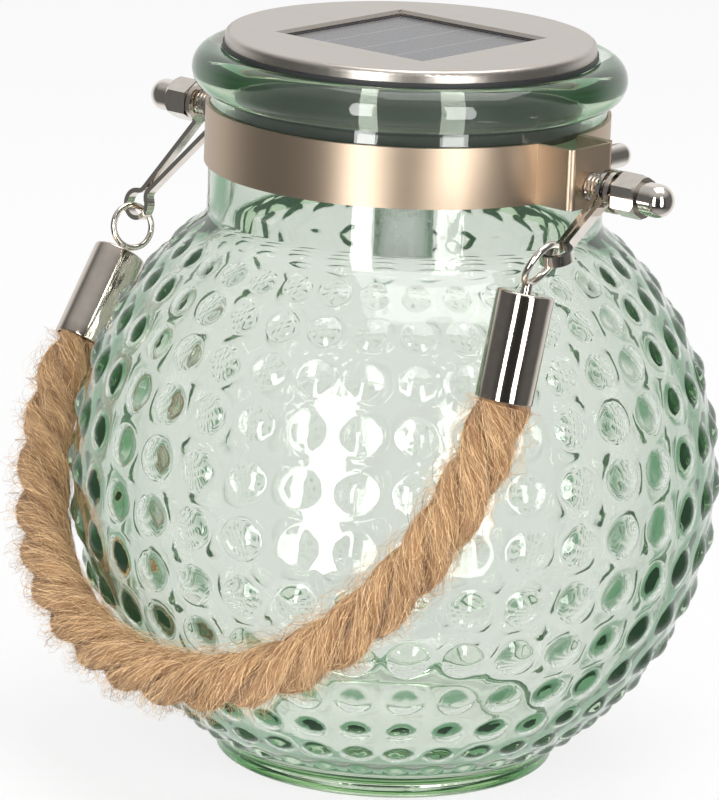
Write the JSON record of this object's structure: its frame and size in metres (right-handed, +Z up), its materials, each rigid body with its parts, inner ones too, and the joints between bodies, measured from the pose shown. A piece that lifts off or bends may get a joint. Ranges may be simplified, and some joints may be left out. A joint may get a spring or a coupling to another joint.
{
  "type": "mason jar lantern",
  "caption": "Round hobnail glass jar lantern with a lift-off solar lid, a steel neck band and a swinging jute rope handle.",
  "frame": {"origin": "centre of the jar's foot, on the table", "axes": "+Z up along the jar's axis; X along the pivot line, right ear at +X; the rope hangs at -Y"},
  "size_m": [0.157, 0.1531, 0.1646],
  "materials": {
    "glass": "clear pale green, smooth",
    "brushed_steel": "fine satin brushing, warm tint",
    "bright_steel": "polished, lightly worn",
    "nickel": "polished, lightly streaked along its length",
    "jute": "hairy natural fibre",
    "black_rubber": "matt",
    "black_plastic": "satin",
    "solar": "dark cells under clear resin",
    "board": "lacquered",
    "screw_steel": "zinc plated",
    "battery_sleeve": "plain shrink sleeve",
    "white_plastic": "satin",
    "led_lens": "clear, warm white",
    "clear_plastic": "clear, faintly frosted"
  },
  "bodies": {
    "jar": {"glass_jar": "glass", "shoulder_hobnails": "glass", "waist_hobnails": "glass", "foot_hobnails": "glass", "neck_band": "brushed_steel", "clamp_screw": "bright_steel", "clamp_nut": "bright_steel", "left_pivot_bolt": "bright_steel", "right_pivot_bolt": "bright_steel", "left_cap_nut": "bright_steel", "right_cap_nut": "bright_steel"},
    "handle": {"left_link": "bright_steel", "right_link": "bright_steel", "left_eye_ring": "nickel", "right_eye_ring": "nickel", "left_ferrule": "nickel", "right_ferrule": "nickel", "rope": "jute"},
    "lid": {"lid_disc": "brushed_steel", "lid_gasket": "black_rubber", "lid_housing": "black_plastic", "solar_panel": "solar", "circuit_board": "board", "board_screws": "screw_steel", "battery": "battery_sleeve", "battery_contacts": "screw_steel", "battery_door": "black_plastic", "door_screws": "screw_steel", "switch_body": "black_plastic", "led": "led_lens", "light_tube": "clear_plastic"},
    "switch": {"switch_slider": "white_plastic"}
  },
  "joints": [
    {"name": "handle_swing", "type": "hinge", "parent": "jar", "child": "handle", "pos_m": [0, -0.0016, 0.1398], "axis": [-1, 0, 0], "range_deg": [0, 245]},
    {"name": "lid_lift", "type": "slide", "parent": "jar", "child": "lid", "axis": [0, 0, 1], "range_m": [0, 0.08]},
    {"name": "switch_slide", "type": "slide", "parent": "lid", "child": "switch", "axis": [1, 0, 0], "range_m": [0, 0.003]}
  ]
}
